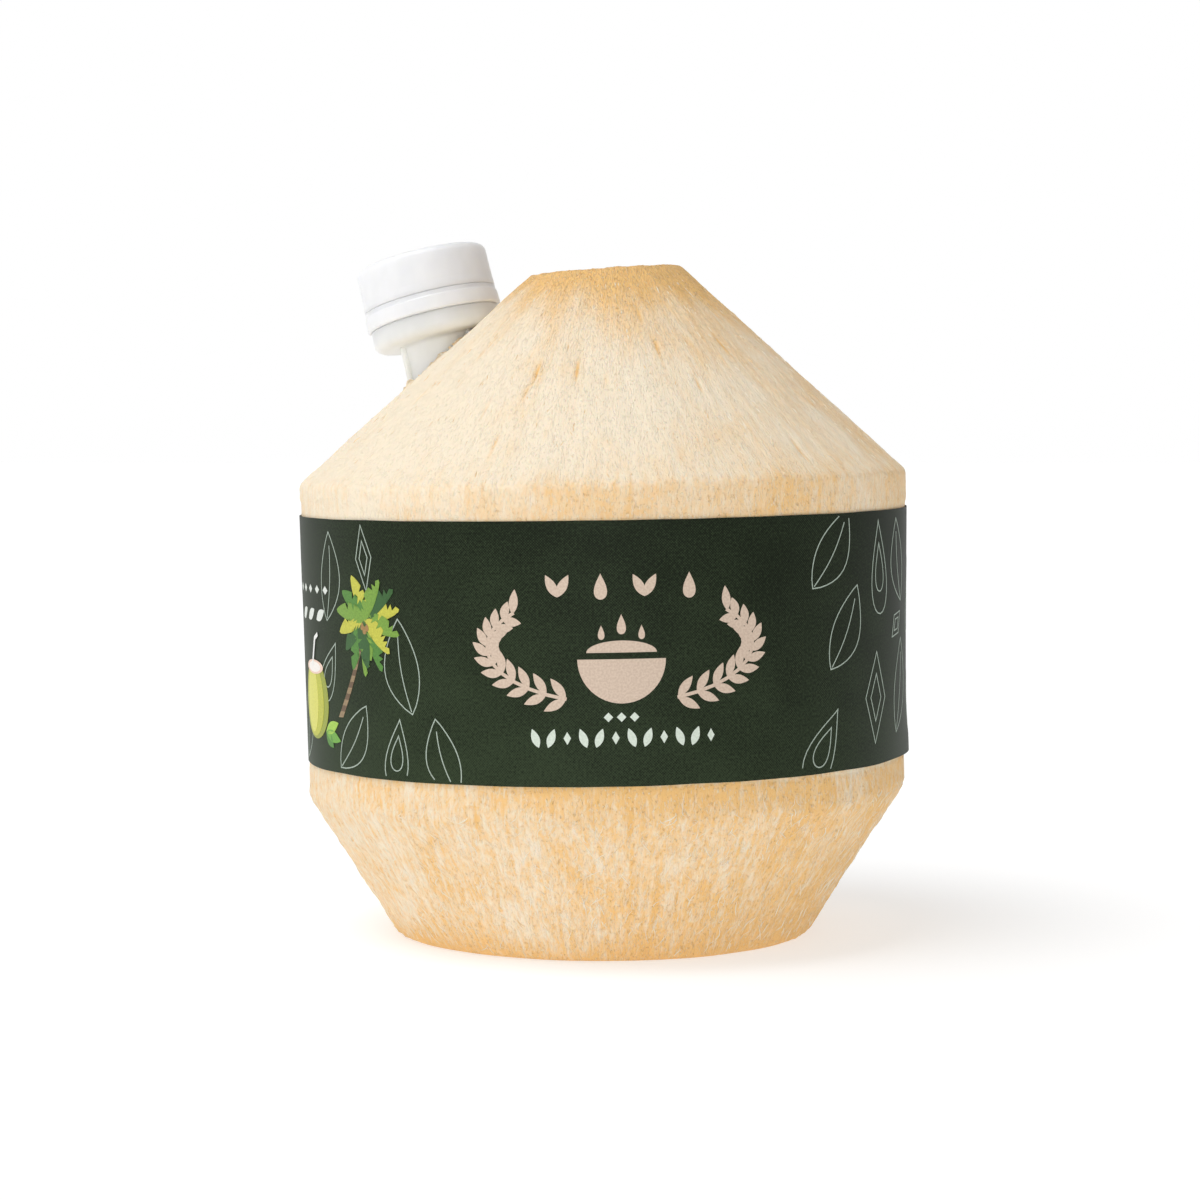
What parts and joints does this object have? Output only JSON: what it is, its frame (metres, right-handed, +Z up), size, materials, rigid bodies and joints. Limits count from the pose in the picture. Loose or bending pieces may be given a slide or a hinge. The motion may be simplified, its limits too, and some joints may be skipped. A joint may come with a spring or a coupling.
{
  "type": "trimmed young coconut with drinking spout",
  "caption": "Young coconut shaved to a double cone with a flat base, wrapped in a printed waist label, with a screw-capped drinking spout pushed into its upper slope.",
  "frame": {"origin": "centre of the footprint, on the surface that the cut base stands on", "axes": "+Z up, -Y towards the front of the label, +X to the right seen from the front; the waist's axis leans 0.9 degrees towards -X"},
  "size_m": [0.132, 0.1324, 0.1498],
  "materials": {
    "shaved_husk": "freshly shaved, matt fibrous husk, cream with tan cut edges",
    "label_film": "dark green printed film with pale outline artwork, slight sheen",
    "spout_plastic": "translucent natural polyethylene",
    "cap_plastic": "white moulded polyethylene, satin",
    "liner_foam": "white foamed polyethylene disc"
  },
  "bodies": {
    "fruit": {"coconut": "shaved_husk", "label": "label_film", "spout": "spout_plastic", "tamper_band": "cap_plastic"},
    "seal": {"cap_liner": "liner_foam"},
    "cap": {"cap": "cap_plastic"}
  },
  "joints": [
    {"name": "cap_lift", "type": "slide", "parent": "fruit", "child": "seal", "axis": [-0.2369, 0.1084, 0.9655], "range_m": [0, 0.00376]},
    {"name": "cap_turn", "type": "hinge", "parent": "seal", "child": "cap", "pos_m": [-0.03775, 0.0179, 0.13284], "axis": [-0.2369, 0.1084, 0.9655], "range_deg": [0, 450]}
  ],
  "couplings": [
    {"joint": "cap_lift", "follows": "cap_turn", "m_per_rad": 0.00047746}
  ]
}
